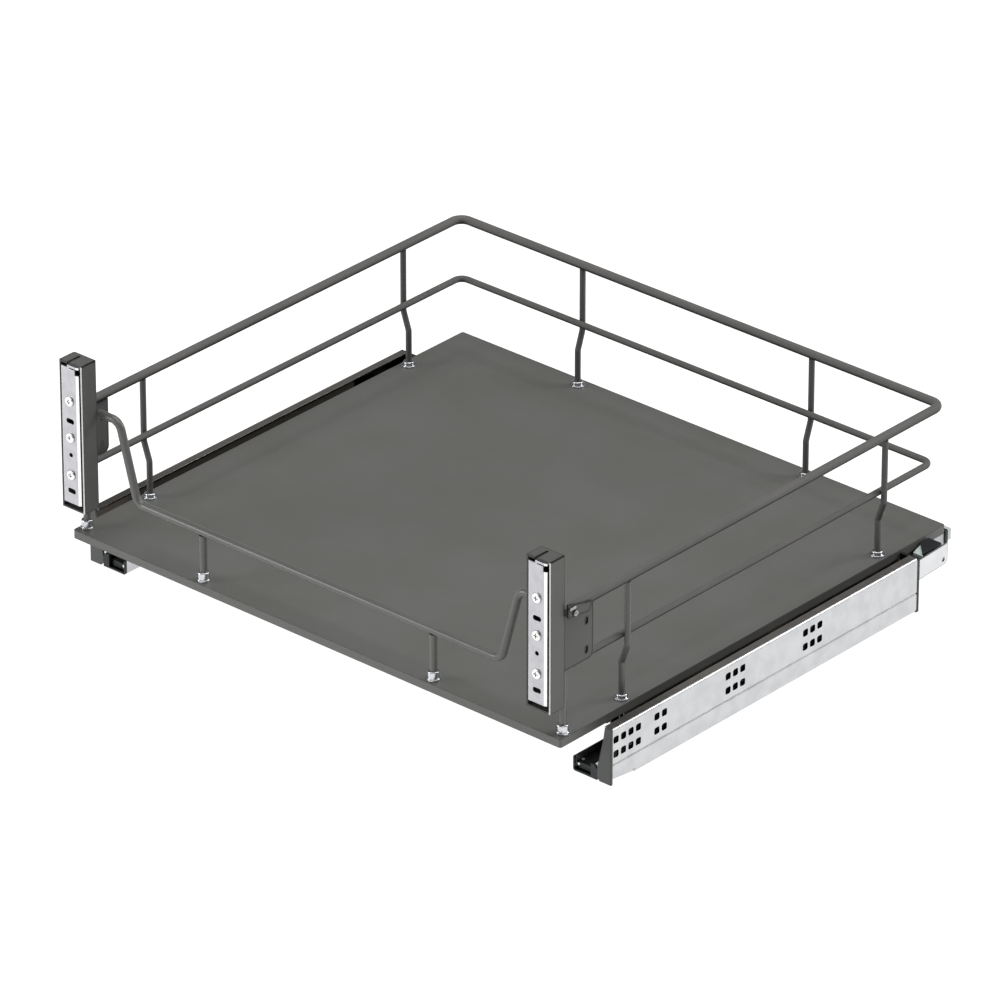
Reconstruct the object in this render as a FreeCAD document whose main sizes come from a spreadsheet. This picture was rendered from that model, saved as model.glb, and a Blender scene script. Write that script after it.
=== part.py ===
import FreeCAD, Part
import math
import os
import re
import Sketcher

# Pull-out wire drawer. Millimetres, X to the right, the drawer opens towards -Y, Z up.
# Sizes are given from the front edge and the top face of the shelf board, for the right side.

SIZES = (
    # shelf board
    ("board_clear", 19),
    ("board_depth", 480),
    ("board_thick", 7.5),
    ("board_corner", 2),
    # round ends of slots, as a share of the slot width
    ("end_round", 0.45),
    # top rail, a round rod bent to a U that is open to the front
    ("rail_radius", 3.85),
    ("rail_side_inset", 2.5),
    ("rail_back_inset", 5.2),
    ("rail_height", 111.4),
    ("rail_bend", 10),
    # middle rail, welded to the inner side of the uprights
    ("mid_rail_radius", 2.85),
    ("mid_rail_height", 58.7),
    ("mid_rail_bend", 8),
    # uprights, each with a kink towards the inside of the board
    ("upright_radius", 2.6),
    ("upright_front_y", 83),
    ("upright_rear_y", 402),
    ("upright_back_x", 125),
    ("kink_top", 50.5),
    ("kink_foot", 33.5),
    ("kink_shift", 5.8),
    ("kink_bend", 6),
    # ferrules that hold the front rods on the board, and the lower ones of the uprights
    ("ferrule_radius", 4.9),
    ("ferrule_height", 8.5),
    ("ferrule_base_radius", 5.7),
    ("ferrule_base_height", 2.2),
    ("ferrule_round", 1),
    ("foot_radius", 4.7),
    ("foot_height", 4.8),
    ("foot_base_radius", 6.3),
    ("foot_base_height", 1.8),
    ("foot_round", 1.2),
    ("ferrule_fit", 0.05),
    # front rail with two raised arms
    ("front_rail_radius", 3.5),
    ("front_rail_y", 7),
    ("front_rail_height", 45),
    ("front_arm_height", 113.7),
    ("front_arm_foot_inset", 67.8),
    ("front_arm_top_inset", 48.8),
    ("front_rail_bend", 10),
    ("pin_x", 125),
    ("pin_radius", 3.25),
    # front posts, sheet channels open to the front, the same piece on both sides
    ("post_width", 25),
    ("left_post_inset", 1),
    ("post_ahead", 12),
    ("post_depth", 17.5),
    ("post_sheet", 1.6),
    ("post_foot", 27.5),
    ("post_top", 162),
    ("post_bend", 1.8),
    ("slit_width", 1.8),
    ("slit_length", 14),
    # rod behind each post
    ("post_pin_radius", 3),
    ("post_pin_inset", 6.5),
    ("post_pin_y", 10),
    # fixing plate inside each post
    ("plate_width", 19.4),
    ("plate_proud", 0.6),
    ("plate_sheet", 1.5),
    ("plate_bevel", 2.4),
    ("bevel_depth", 1.1),
    ("plate_bend", 1.8),
    ("plate_foot", 33.5),
    ("plate_top", 160.1),
    ("tongue_height", 2),
    ("tongue_neck", 2),
    ("tongue_gap", 1),
    ("plate_shoulder", 2.5),
    ("corner_notch_width", 3.5),
    ("corner_notch_height", 5.5),
    ("slot_height", 45),
    ("slot_pitch", 64),
    ("slot_length", 8.5),
    ("slot_width", 4.5),
    ("locating_height", 78),
    ("locating_radius", 2),
    ("plate_screw_low", 59.8),
    ("plate_screw_middle", 94),
    ("plate_screw_high", 127.3),
    ("screw_radius", 2),
    ("screw_head_radius", 4.25),
    ("screw_head_height", 1.6),
    ("screw_round", 0.9),
    ("cross_length", 2.1),
    ("cross_width", 0.5),
    ("cross_depth", 0.9),
    ("screw_gap", 0.1),
    # side plate and rail bracket behind each post
    ("side_plate_sheet", 1.5),
    ("side_plate_back", 40.8),
    ("side_plate_foot", 58),
    ("side_plate_gap", 0.5),
    ("side_plate_round", 6),
    ("oval_y", 33),
    ("oval_low", 67),
    ("oval_high", 93),
    ("oval_width", 3),
    ("oval_height", 6),
    ("oval_depth", 0.9),
    ("bracket_sheet", 1.5),
    ("bracket_back", 34.5),
    ("bracket_foot_drop", 4.2),
    ("bracket_low_drop", 7.6),
    ("bracket_low_y", 31),
    ("bracket_rear_rise", 0.6),
    ("bracket_front_rise", 7.8),
    ("bracket_round", 2),
    ("bolt_y", 10),
    ("bolt_rise", 3.6),
    ("bolt_radius", 1),
    ("bolt_head_length", 7.5),
    ("bolt_head_width", 2.4),
    ("bolt_head_height", 1.4),
    ("nut_back", 3),
    ("nut_drop", 5.2),
    ("nut_width", 4.6),
    ("nut_length", 2),
    ("stud_end", 0.5),
    # runner track
    ("travel", 400),
    ("track_inset", 29.6),
    ("track_width", 17),
    ("ball_gap", 3.2),
    ("ball_radius", 1.5),
    ("ball_pitch", 19),
    ("ball_fit", 0.06),
    # cabinet profile
    ("runner_reach", 284),
    ("runner_depth", 51),
    ("runner_front", 41),
    ("runner_rear", 420.5),
    ("runner_sheet", 1.5),
    ("flange_top", 1),
    ("lip_width", 8.6),
    ("lip_bend", 2.1),
    ("foot_bend", 3),
    ("track_bend", 2),
    ("track_inner_bend", 0.5),
    ("track_top", 38.2),
    ("rib_width", 2.5),
    ("crease_height", 32.4),
    ("crease_depth", 0.8),
    ("crease_edge", 0.5),
    ("crease_length", 1.9),
    ("liner_sheet", 0.6),
    ("liner_top", 6),
    ("liner_foot", 17.5),
    ("liner_end", 60),
    ("hole_size", 6.3),
    ("hole_corner", 1.8),
    ("hole_row_top", 11.3),
    ("hole_row_pitch", 12.85),
    ("hole_pitch", 9),
    ("cluster_front", 58.5),
    ("cluster_second", 99),
    ("cluster_third", 190.8),
    ("cluster_pitch", 96.4),
    ("cut_length", 25),
    ("cut_front_height", 45.5),
    ("cut_rear_height", 48.5),
    ("notch_length", 3),
    ("notch_height", 46.8),
    # plate and cap at the front of the cabinet profile
    ("end_plate_thick", 2),
    ("end_plate_top", 0.2),
    ("end_plate_top_width", 6.7),
    ("end_plate_shoulder_width", 8.2),
    ("end_plate_foot_width", 14.8),
    ("end_plate_knee", 41.5),
    ("front_cap_round", 2),
    # tail of the cabinet profile
    ("cap_length", 3),
    ("cap_top", 2),
    ("tail_rear", 462.5),
    ("tail_top", 3.6),
    ("tail_foot", 22),
    ("tail_lean", 2),
    ("tail_round", 2.5),
    ("dimple_inset", 6),
    ("dimple_height", 17),
    ("dimple_radius", 1.8),
    ("dimple_depth", 0.5),
    ("wedge_front", 430.4),
    ("wedge_rear", 444.8),
    ("wedge_top", 3.8),
    ("wedge_foot", 14),
    ("wedge_side", 2.4),
    ("wedge_corner", 12.4),
    ("wedge_tip", 16.5),
    ("housing_rear", 457),
    ("housing_top", 2.6),
    ("housing_foot", 20),
    ("housing_gap", 0.3),
    ("housing_round", 1),
    # drawer profile
    ("drawer_sheet", 1.3),
    ("drawer_bend", 2),
    ("drawer_foot", 25),
    ("drawer_front", 78),
    ("drawer_tail", 0.3),
    ("hook_reach", 2.4),
    ("hook_width", 11.5),
    ("hook_length", 3.2),
    ("hook_top", 6),
    ("hook_foot", 18),
    ("hook_clear", 0.6),
    ("buffer_length", 5),
    ("buffer_inset", 0.8),
    # intermediate profile
    ("mid_sheet", 1.2),
    ("mid_bend", 1.8),
    ("mid_front", 78),
    ("mid_length", 340),
    ("nose_length", 36),
    ("nose_side_gap", 0.35),
    ("nose_foot_gap", 0.6),
    ("nose_top", 43.5),
    ("nose_round", 1.5),
    ("rivet_radius", 1.2),
    ("rivet_height", 0.8),
    ("rivet_inset", 6),
    ("rivet_step", 5),
    ("rivet_drop", 1.5),
    # ball cages
    ("cage_sheet", 0.8),
    ("cage_bend", 1.2),
    ("lower_cage_length", 168),
    ("lower_cage_margin", 4),
    ("lower_cage_top", 39.5),
    ("lower_row_height", 43.5),
    ("upper_cage_length", 172),
    ("upper_cage_margin", 2),
    ("upper_cage_foot", 24),
    ("upper_row_height", 20),
)

# Positions that follow from the sizes above.
DERIVED = (
    ("board_side", "runner_reach - board_clear"),
    ("rail_x", "board_side - rail_side_inset"),
    ("rail_y", "board_depth - rail_back_inset"),
    ("rail_under", "rail_height - rail_radius"),
    ("mid_rail_x", "rail_x - upright_radius - mid_rail_radius"),
    ("mid_rail_y", "rail_y - upright_radius - mid_rail_radius"),
    ("post_side", "board_side - post_width"),
    ("post_back", "post_depth - post_ahead"),
    ("post_spacing", "board_side * 2 - post_width - left_post_inset"),
    ("front_arm_foot_x", "board_side - front_arm_foot_inset"),
    ("front_arm_top_x", "board_side - front_arm_top_inset"),
    ("post_pin_x", "board_side - post_pin_inset"),
    ("side_plate_x", "post_pin_x + post_pin_radius"),
    ("side_plate_out", "side_plate_x + side_plate_sheet"),
    ("side_plate_top", "rail_under - side_plate_gap"),
    ("bracket_x", "rail_x + rail_radius"),
    ("bracket_out", "bracket_x + bracket_sheet"),
    ("bracket_foot", "rail_height - bracket_foot_drop"),
    ("bracket_low", "rail_height - bracket_low_drop"),
    ("bracket_rear_top", "rail_height + bracket_rear_rise"),
    ("bracket_front_top", "rail_height + bracket_front_rise"),
    ("bolt_height", "rail_height + bolt_rise"),
    ("nut_y", "bolt_y + nut_back"),
    ("nut_height", "bolt_height - nut_drop"),
    ("plate_x", "post_side + post_sheet"),
    ("plate_front", "0 - post_ahead - plate_proud"),
    ("plate_middle", "plate_x + plate_width / 2"),
    ("web_top", "runner_sheet - runner_depth"),
    ("track_x", "runner_reach - track_inset"),
    ("track_in", "track_x - track_width / 2"),
    ("track_out", "track_x + track_width / 2"),
    ("flange_inner", "runner_reach - runner_sheet"),
    ("rib_out", "track_out + rib_width"),
    ("mid_half", "track_width / 2 - ball_gap"),
    ("mid_foot", "web_top + ball_gap"),
    ("drawer_roof", "0 - board_thick - drawer_sheet"),
    ("mid_top", "drawer_roof - ball_gap"),
    ("row_offset", "mid_half + ball_gap / 2"),
    ("drawer_rear", "board_depth + drawer_tail"),
    ("hook_rear", "drawer_rear + hook_length"),
    ("buffer_rear", "hook_rear + buffer_length"),
    ("hook_outer_x", "track_out + hook_reach"),
    ("hook_inner_x", "hook_outer_x - hook_width"),
    ("pass_x", "track_x + mid_half + hook_clear"),
    ("pass_z", "mid_top + hook_clear"),
    ("clear_x", "hook_outer_x + hook_clear"),
    ("cap_rear", "runner_rear + cap_length"),
    ("wedge_slope", "(wedge_rear - wedge_front) / (wedge_tip - wedge_side)"),
    ("lower_cage_front", "runner_front + travel / 4 + lower_cage_margin"),
    ("upper_cage_front", "mid_front + travel / 4 + upper_cage_margin"),
    ("head_front", "plate_front - screw_head_height"),
    ("frame_y", "0 - (buffer_rear + head_front) / 2"),
)

PLANES = {"XY": "XY_Plane", "XZ": "XZ_Plane", "YZ": "YZ_Plane"}
BALL_COUNT = 9

doc = FreeCAD.newDocument("wire_drawer")
sheet = doc.addObject("Spreadsheet::Sheet", "Sizes")
row = 1
for alias, size in SIZES:
    sheet.set("A%d" % row, alias)
    sheet.set("B%d" % row, str(size))
    sheet.setAlias("B%d" % row, alias)
    row += 1
names = {alias for alias, size in SIZES}
for alias, formula in DERIVED:
    sheet.set("A%d" % row, alias)
    sheet.set("B%d" % row, "=" + formula)
    sheet.setAlias("B%d" % row, alias)
    names.add(alias)
    row += 1
doc.recompute()


def linked(formula):
    return re.sub(r"[a-z_]+", lambda m: "Sizes." + m.group() if m.group() in names else m.group(), formula)


def number(formula):
    return float(sheet.evalExpression(linked(formula)))


def bind(thing, path, formula):
    thing.setExpression(path, linked(formula))


def origin_part(body, role):
    return next(f for f in body.Origin.OriginFeatures if f.Role == role)


def pin(rules, item, spot, u, v):
    """Holds one point of a sketch at two formulas."""
    for kind, axis, formula in (("DistanceX", -2, u), ("DistanceY", -1, v)):
        if formula == "0":
            rules.append((Sketcher.Constraint("PointOnObject", item, spot, axis), None))
        else:
            rules.append((Sketcher.Constraint(kind, -1, 1, item, spot, number(formula)), formula))


def ring(sketch, rules, u, v, radius):
    centre = FreeCAD.Vector(number(u), number(v), 0)
    circle = Part.Circle(centre, FreeCAD.Vector(0, 0, 1), number(radius))
    item = sketch.addGeometry(circle, False)
    pin(rules, item, 3, u, v)
    rules.append((Sketcher.Constraint("Radius", item, number(radius)), radius))


def corner_cuts(corners, closed):
    """Start, end and middle of the rounding at each corner; sharp corners have no middle."""
    spots = [FreeCAD.Vector(number(c[0]), number(c[1]), 0) for c in corners]
    cuts = []
    for i, corner in enumerate(corners):
        if len(corner) == 2:
            cuts.append((spots[i], spots[i], None, spots[i]))
            continue
        before = (spots[i - 1] - spots[i]).normalize()
        after = (spots[(i + 1) % len(corners)] - spots[i]).normalize()
        half = before.getAngle(after) / 2
        inward = (before + after).normalize()
        radius = number(corner[2])
        reach = radius / math.tan(half)
        middle = spots[i] + inward * (radius / math.sin(half) - radius)
        cuts.append((spots[i] + before * reach, spots[i] + after * reach, middle, spots[i]))
    return cuts


def trace(sketch, rules, corners, closed=True):
    """Draws straight runs between corners; a corner with a third entry is rounded by that radius."""
    cuts = corner_cuts(corners, closed)
    count = len(corners)
    last = count if closed else count - 1
    runs = [Part.LineSegment(cuts[i][1], cuts[(i + 1) % count][0]) for i in range(last)]
    lines = list(sketch.addGeometry(runs, False))
    for i, corner in enumerate(corners):
        start, end, middle, spot = cuts[i]
        if middle is None:
            if closed or 0 < i < count - 1:
                rules.append((Sketcher.Constraint("Coincident", lines[i - 1], 2, lines[i], 1), None))
            held = (lines[i], 1) if i < last else (lines[i - 1], 2)
            pin(rules, held[0], held[1], corner[0], corner[1])
            continue
        arc = sketch.addGeometry(Part.Arc(start, middle, end), False)
        from_first = (sketch.getPoint(arc, 1) - start).Length
        from_second = (sketch.getPoint(arc, 2) - start).Length
        first = 1 if from_first < from_second else 2
        mark = sketch.addGeometry(Part.Point(spot), True)
        pin(rules, mark, 1, corner[0], corner[1])
        rules.append((Sketcher.Constraint("PointOnObject", mark, 1, lines[i - 1]), None))
        rules.append((Sketcher.Constraint("PointOnObject", mark, 1, lines[i]), None))
        rules.append((Sketcher.Constraint("Tangent", lines[i - 1], 2, arc, first), None))
        rules.append((Sketcher.Constraint("Tangent", arc, 3 - first, lines[i], 1), None))
        rules.append((Sketcher.Constraint("Radius", arc, number(corner[2])), corner[2]))


def rectangle(low_u, high_u, low_v, high_v, radius=None):
    turn = (radius,) if radius else ()
    return [(low_u, low_v) + turn, (high_u, low_v) + turn, (high_u, high_v) + turn, (low_u, high_v) + turn]


def box_round(u, v, width, height, radius):
    """A rounded rectangle about a centre."""
    low_u = "%s - %s / 2" % (u, width)
    high_u = "%s + %s / 2" % (u, width)
    low_v = "%s - %s / 2" % (v, height)
    high_v = "%s + %s / 2" % (v, height)
    return rectangle(low_u, high_u, low_v, high_v, radius)


def sketched(body, plane, level, outlines=(), rings=(), closed=True):
    """A sketch on one of the body's planes, moved to a level along X, Y or Z."""
    sketch = body.newObject("Sketcher::SketchObject", body.Name + "_sketch")
    sketch.AttachmentSupport = (origin_part(body, PLANES[plane]), [""])
    sketch.MapMode = "FlatFace"
    bind(sketch, "AttachmentOffset.Base.z", "0 - (%s)" % level if plane == "XZ" else level)
    rules = []
    for corners in outlines:
        trace(sketch, rules, corners, closed)
    for u, v, radius in rings:
        ring(sketch, rules, u, v, radius)
    held = sketch.addConstraint([rule for rule, formula in rules])
    for index, (rule, formula) in zip(held, rules):
        if formula:
            bind(sketch, "Constraints[%d]" % index, formula)
    return sketch


def grow(body, plane, level, length, outlines=(), rings=()):
    """Adds material from a level towards larger X, Y or Z."""
    pad = body.newObject("PartDesign::Pad", body.Name + "_pad")
    pad.Profile = sketched(body, plane, level, outlines, rings)
    pad.Reversed = plane == "XZ"
    bind(pad, "Length", length)
    doc.recompute()
    return pad


def cut(body, plane, level, length, outlines=(), rings=()):
    """Takes material away; from the level towards -X, +Y or -Z."""
    before = body.Shape.Volume
    pocket = body.newObject("PartDesign::Pocket", body.Name + "_cut")
    pocket.Profile = sketched(body, plane, level, outlines, rings)
    bind(pocket, "Length", length)
    doc.recompute()
    if not body.Shape.Volume < before - 0.01:
        raise ValueError("nothing cut from " + body.Name)
    return pocket


def repeat(body, feature, role, pitch, count):
    pattern = body.newObject("PartDesign::LinearPattern", body.Name + "_row")
    pattern.Originals = [feature]
    pattern.Direction = (origin_part(body, role), [""])
    bind(pattern, "Length", "%s * %d" % (pitch, count - 1))
    pattern.Occurrences = count
    body.Tip = pattern
    doc.recompute()
    return pattern


def new_body(name):
    return doc.addObject("PartDesign::Body", name)


def seat(thing):
    """Moves a finished piece from the board's frame to the frame of the whole object."""
    bind(thing, "Placement.Base.y", "frame_y")
    bind(thing, "Placement.Base.z", "runner_depth")
    parts.append(thing)
    return thing


def both(thing):
    """Keeps the right-hand piece and adds its mirror image."""
    seat(thing)
    name = thing.Name.replace("_right", "_left")
    mirrored = doc.addObject("Part::Mirroring", name)
    mirrored.Source = thing
    mirrored.Normal = (1, 0, 0)
    parts.append(mirrored)
    return mirrored


def twin(thing):
    """Keeps the right-hand piece and sets the same piece, not mirrored, on the left."""
    seat(thing)
    copy = doc.addObject("Part::Compound", thing.Name.replace("_right", "_left"))
    copy.Links = [thing]
    bind(copy, "Placement.Base.x", "0 - post_spacing")
    parts.append(copy)
    return copy


def wire(name, plane, level, corners, start_plane, start_level, start, radius):
    """A round rod swept along a bent line."""
    body = new_body(name)
    spine = sketched(body, plane, level, [corners], closed=False)
    mouth = sketched(body, start_plane, start_level, rings=[(start[0], start[1], radius)])
    doc.recompute()
    pipe = body.newObject("PartDesign::AdditivePipe", name + "_rod")
    pipe.Profile = mouth
    pipe.Spine = (spine, ["Edge%d" % (i + 1) for i in range(len(spine.Shape.Edges))])
    doc.recompute()
    return body


def rod(name, x, y, z, direction, radius, length):
    """A straight round rod along X, Y or Z, from its lower end."""
    cylinder = doc.addObject("Part::Cylinder", name)
    turns = {"X": ((0, 1, 0), 90), "Y": ((1, 0, 0), -90), "Z": ((0, 0, 1), 0)}
    axis, angle = turns[direction]
    cylinder.Placement.Rotation = FreeCAD.Rotation(FreeCAD.Vector(*axis), angle)
    bind(cylinder, "Placement.Base.x", x)
    bind(cylinder, "Placement.Base.y", y)
    bind(cylinder, "Placement.Base.z", z)
    bind(cylinder, "Radius", radius)
    bind(cylinder, "Height", length)
    return cylinder


def turned(name, corners, x, y, z, tilt=0):
    """A solid of revolution about an upright axis at x, y, drawn as a half section."""
    body = new_body(name)
    half = sketched(body, "XZ", "0", [corners])
    solid = body.newObject("PartDesign::Revolution", name + "_turn")
    solid.Profile = half
    solid.ReferenceAxis = (origin_part(body, "Z_Axis"), [""])
    solid.Angle = 360
    body.Placement.Rotation = FreeCAD.Rotation(FreeCAD.Vector(1, 0, 0), tilt)
    bind(body, "Placement.Base.x", x)
    bind(body, "Placement.Base.y", y)
    bind(body, "Placement.Base.z", z)
    doc.recompute()
    return body


def group(name, pieces):
    compound = doc.addObject("Part::Compound", name)
    compound.Links = pieces
    doc.recompute()
    return compound


parts = []

# shelf board
board = new_body("shelf_board")
outline = rectangle("0 - board_side", "board_side", "0", "board_depth", "board_corner")
grow(board, "XY", "0 - board_thick", "board_thick", [outline])
seat(board)

# top rail and middle rail
rail_line = [
    ("rail_x", "post_back"),
    ("rail_x", "rail_y", "rail_bend"),
    ("0 - rail_x", "rail_y", "rail_bend"),
    ("0 - rail_x", "post_back"),
]
rail_mouth = ("rail_x", "rail_height")
seat(wire("top_rail", "XY", "rail_height", rail_line, "XZ", "post_back", rail_mouth, "rail_radius"))
mid_start = "post_pin_y + post_pin_radius"
mid_line = [
    ("mid_rail_x", mid_start),
    ("mid_rail_x", "mid_rail_y", "mid_rail_bend"),
    ("0 - mid_rail_x", "mid_rail_y", "mid_rail_bend"),
    ("0 - mid_rail_x", mid_start),
]
mid_mouth = ("mid_rail_x", "mid_rail_height")
seat(wire("mid_rail", "XY", "mid_rail_height", mid_line, "XZ", mid_start, mid_mouth, "mid_rail_radius"))


def upright_line(level):
    """Line of an upright from its foot to the underside of the top rail."""
    foot = level + " - kink_shift"
    return [
        (foot, "0"),
        (foot, "kink_foot", "kink_bend"),
        (level, "kink_top", "kink_bend"),
        (level, "rail_under"),
    ]


for name, y in (("upright_right_front", "upright_front_y"), ("upright_right_rear", "upright_rear_y")):
    foot = ("rail_x - kink_shift", y)
    both(wire(name, "XZ", y, upright_line("rail_x"), "XY", "0", foot, "upright_radius"))
foot = ("upright_back_x", "rail_y - kink_shift")
line = upright_line("rail_y")
both(wire("upright_back_right", "YZ", "upright_back_x", line, "XY", "0", foot, "upright_radius"))


def ferrule(name, x, y, inner, kind):
    """A small cup with a wider base ring; kind is the first word of its sizes."""
    bore = inner + " + ferrule_fit"
    section = [
        (bore, "0"),
        (kind + "_base_radius", "0"),
        (kind + "_base_radius", kind + "_base_height", "ferrule_round / 2"),
        (kind + "_radius", kind + "_base_height"),
        (kind + "_radius", kind + "_height", kind + "_round"),
        (bore, kind + "_height"),
    ]
    return turned(name, section, x, y, "0")


feet = []
for i, (x, y) in enumerate(
    (
        ("rail_x - kink_shift", "upright_front_y"),
        ("rail_x - kink_shift", "upright_rear_y"),
        ("upright_back_x", "rail_y - kink_shift"),
    )
):
    for side, sign in (("a", ""), ("b", "0 - ")):
        spot = "%s(%s)" % (sign, x)
        feet.append(ferrule("cup_%d%s" % (i, side), spot, y, "upright_radius", "foot"))
seat(group("upright_ferrules", feet))

# front rail on two pins
left_side = "(board_side - post_spacing)"
front_line = [
    (left_side, "front_arm_height"),
    ("0 - front_arm_top_x", "front_arm_height", "front_rail_bend"),
    ("0 - front_arm_foot_x", "front_rail_height", "front_rail_bend"),
    ("front_arm_foot_x", "front_rail_height", "front_rail_bend"),
    ("front_arm_top_x", "front_arm_height", "front_rail_bend"),
    ("post_side", "front_arm_height"),
]
front_mouth = ("front_rail_y", "front_arm_height")
seat(wire("front_rail", "XZ", "front_rail_y", front_line, "YZ", left_side, front_mouth, "front_rail_radius"))
pins = []
cups = []
for side, sign in (("a", ""), ("b", "0 - ")):
    pins.append(rod("pin_" + side, sign + "pin_x", "front_rail_y", "0", "Z", "pin_radius",
                    "front_rail_height - front_rail_radius"))
    cups.append(ferrule("pin_cup_" + side, sign + "pin_x", "front_rail_y", "pin_radius", "ferrule"))
    cups.append(ferrule("post_cup_" + side, sign + "post_pin_x", "post_pin_y", "post_pin_radius", "ferrule"))
seat(group("front_pins", pins))
seat(group("front_ferrules", cups))

# posts: a sheet channel open to the front, with a slit cover at the top and a floor at the bottom
post = new_body("post_right")
section = [
    ("post_side", "0 - post_ahead"),
    ("post_side + post_sheet", "0 - post_ahead"),
    ("post_side + post_sheet", "post_back - post_sheet"),
    ("board_side - post_sheet", "post_back - post_sheet"),
    ("board_side - post_sheet", "0 - post_ahead"),
    ("board_side", "0 - post_ahead"),
    ("board_side", "post_back", "post_bend"),
    ("post_side", "post_back", "post_bend"),
]
grow(post, "XY", "post_foot", "post_top - post_foot", [section])
cover = rectangle("post_side", "board_side", "0 - post_ahead", "post_back")
cover[2] += ("post_bend",)
cover[3] += ("post_bend",)
grow(post, "XY", "post_top - post_sheet", "post_sheet", [cover])
grow(post, "XY", "post_foot", "post_sheet", [cover])
slit_middle = "post_side + post_width * 0.38"
slit = rectangle(
    slit_middle + " - slit_width / 2",
    slit_middle + " + slit_width / 2",
    "0 - post_ahead - slit_width",
    "slit_length - post_ahead",
)
cut(post, "XY", "post_top", "post_sheet", [slit])
screw_levels = ("plate_screw_low", "plate_screw_middle", "plate_screw_high")
screw_holes = [("plate_middle", level, "screw_radius + screw_gap") for level in screw_levels]
cut(post, "XZ", "post_back - post_sheet * 2", "post_sheet * 3", rings=screw_holes)
twin(post)
post_rod = rod("post_rod", "post_pin_x", "post_pin_y", "0", "Z", "post_pin_radius", "side_plate_top")
both(group("post_pin_right", [post_rod]))

# fixing plate: a narrower channel that stands on the back of the post
plate = new_body("fixing_plate_right")
plate_back = "post_back - post_sheet"
plate_end = "plate_x + plate_width"
bevel_back = "plate_front + bevel_depth"
section = [
    ("plate_x", plate_back),
    ("plate_x", "plate_front", "plate_bend"),
    (plate_end + " - plate_bevel", "plate_front"),
    (plate_end, bevel_back),
    (plate_end, plate_back),
    (plate_end + " - plate_sheet", plate_back),
    (plate_end + " - plate_sheet", bevel_back + " + plate_sheet / 2"),
    (plate_end + " - plate_bevel - plate_sheet / 2", "plate_front + plate_sheet"),
    ("plate_x + plate_sheet", "plate_front + plate_sheet", "plate_bend - plate_sheet"),
    ("plate_x + plate_sheet", plate_back),
]
grow(plate, "XY", "plate_foot", "plate_top - plate_foot", [section])
slot_turn = "slot_width * end_round"
slots = [box_round("plate_middle", "slot_height", "slot_length", "slot_width", slot_turn)]
slots.append(box_round("plate_middle", "slot_height + slot_pitch", "slot_length", "slot_width", slot_turn))
holes = screw_holes + [("plate_middle", "locating_height", "locating_radius")]
cut(plate, "XZ", "plate_front", "plate_sheet", slots, holes)
tongue_foot = "plate_top - tongue_height"
beyond = plate_end + " + plate_sheet"
corner = [
    ("plate_middle", tongue_foot + " - tongue_gap"),
    (plate_end + " - corner_notch_width", tongue_foot + " - tongue_gap"),
    (plate_end + " - corner_notch_width", tongue_foot + " - corner_notch_height"),
    (beyond, tongue_foot + " - corner_notch_height"),
    (beyond, tongue_foot),
    ("plate_middle", tongue_foot),
]
cut(plate, "XZ", "plate_front - plate_sheet", "post_depth + plate_sheet * 2", [corner])
shoulder = rectangle(
    "plate_x - plate_sheet",
    "plate_middle - tongue_neck",
    "plate_top - plate_shoulder",
    "plate_top + plate_sheet",
)
cut(plate, "XZ", "plate_front - plate_sheet", "post_depth + plate_sheet * 2", [shoulder])
twin(plate)

screws = []
head = [
    ("0", "0"),
    ("screw_radius", "0"),
    ("screw_radius", "0 - plate_front + post_back"),
    ("screw_head_radius", "0 - plate_front + post_back"),
    ("screw_head_radius", "0 - plate_front + post_back + screw_head_height", "screw_round"),
    ("0", "0 - plate_front + post_back + screw_head_height"),
]
head_top = "0 - plate_front + post_back + screw_head_height"
cross = []
long_arm = ("cross_length", "cross_width")
inner_turn = ("cross_width", "cross_width")
short_arm = ("cross_width", "cross_length")
for turn in (1, -1):
    for u, v in (long_arm, inner_turn, short_arm):
        cross.append((u, v) if turn == 1 else ("0 - " + u, "0 - " + v))
    for u, v in (short_arm, inner_turn, long_arm):
        cross.append(("0 - " + u, v) if turn == 1 else (u, "0 - " + v))
for level in screw_levels:
    screw = turned("screw_" + level[12:], head, "plate_middle", "post_back", level, 90)
    cut(screw, "XY", head_top, "cross_depth", [cross])
    screws.append(screw)
twin(group("plate_screws_right", screws))

# side plate under the end of the top rail
side = new_body("side_plate_right")
outline = rectangle("post_back", "side_plate_back", "side_plate_foot", "side_plate_top")
outline[1] = ("side_plate_back", "side_plate_foot", "side_plate_round")
grow(side, "YZ", "side_plate_x", "side_plate_sheet", [outline])
oval_turn = "oval_width * end_round"
ovals = [
    box_round("oval_y", "oval_low", "oval_width", "oval_height", oval_turn),
    box_round("oval_y", "oval_high", "oval_width", "oval_height", oval_turn),
]
cut(side, "YZ", "side_plate_out", "oval_depth", ovals)
both(side)

# bracket on the outer side of the rail end
bracket = new_body("rail_bracket_right")
outline = [
    ("post_back", "bracket_foot"),
    ("bracket_low_y", "bracket_low", "bracket_round"),
    ("bracket_back", "bracket_rear_top", "bracket_round / 2"),
    ("post_back", "bracket_front_top"),
]
grow(bracket, "YZ", "bracket_x", "bracket_sheet", [outline])
bolt_hole = [("bolt_y", "bolt_height", "bolt_radius + screw_gap")]
stud_hole = [("nut_y", "nut_height", "bolt_radius + screw_gap")]
cut(bracket, "YZ", "bracket_out", "bracket_sheet", rings=bolt_hole + stud_hole)
both(bracket)

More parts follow.
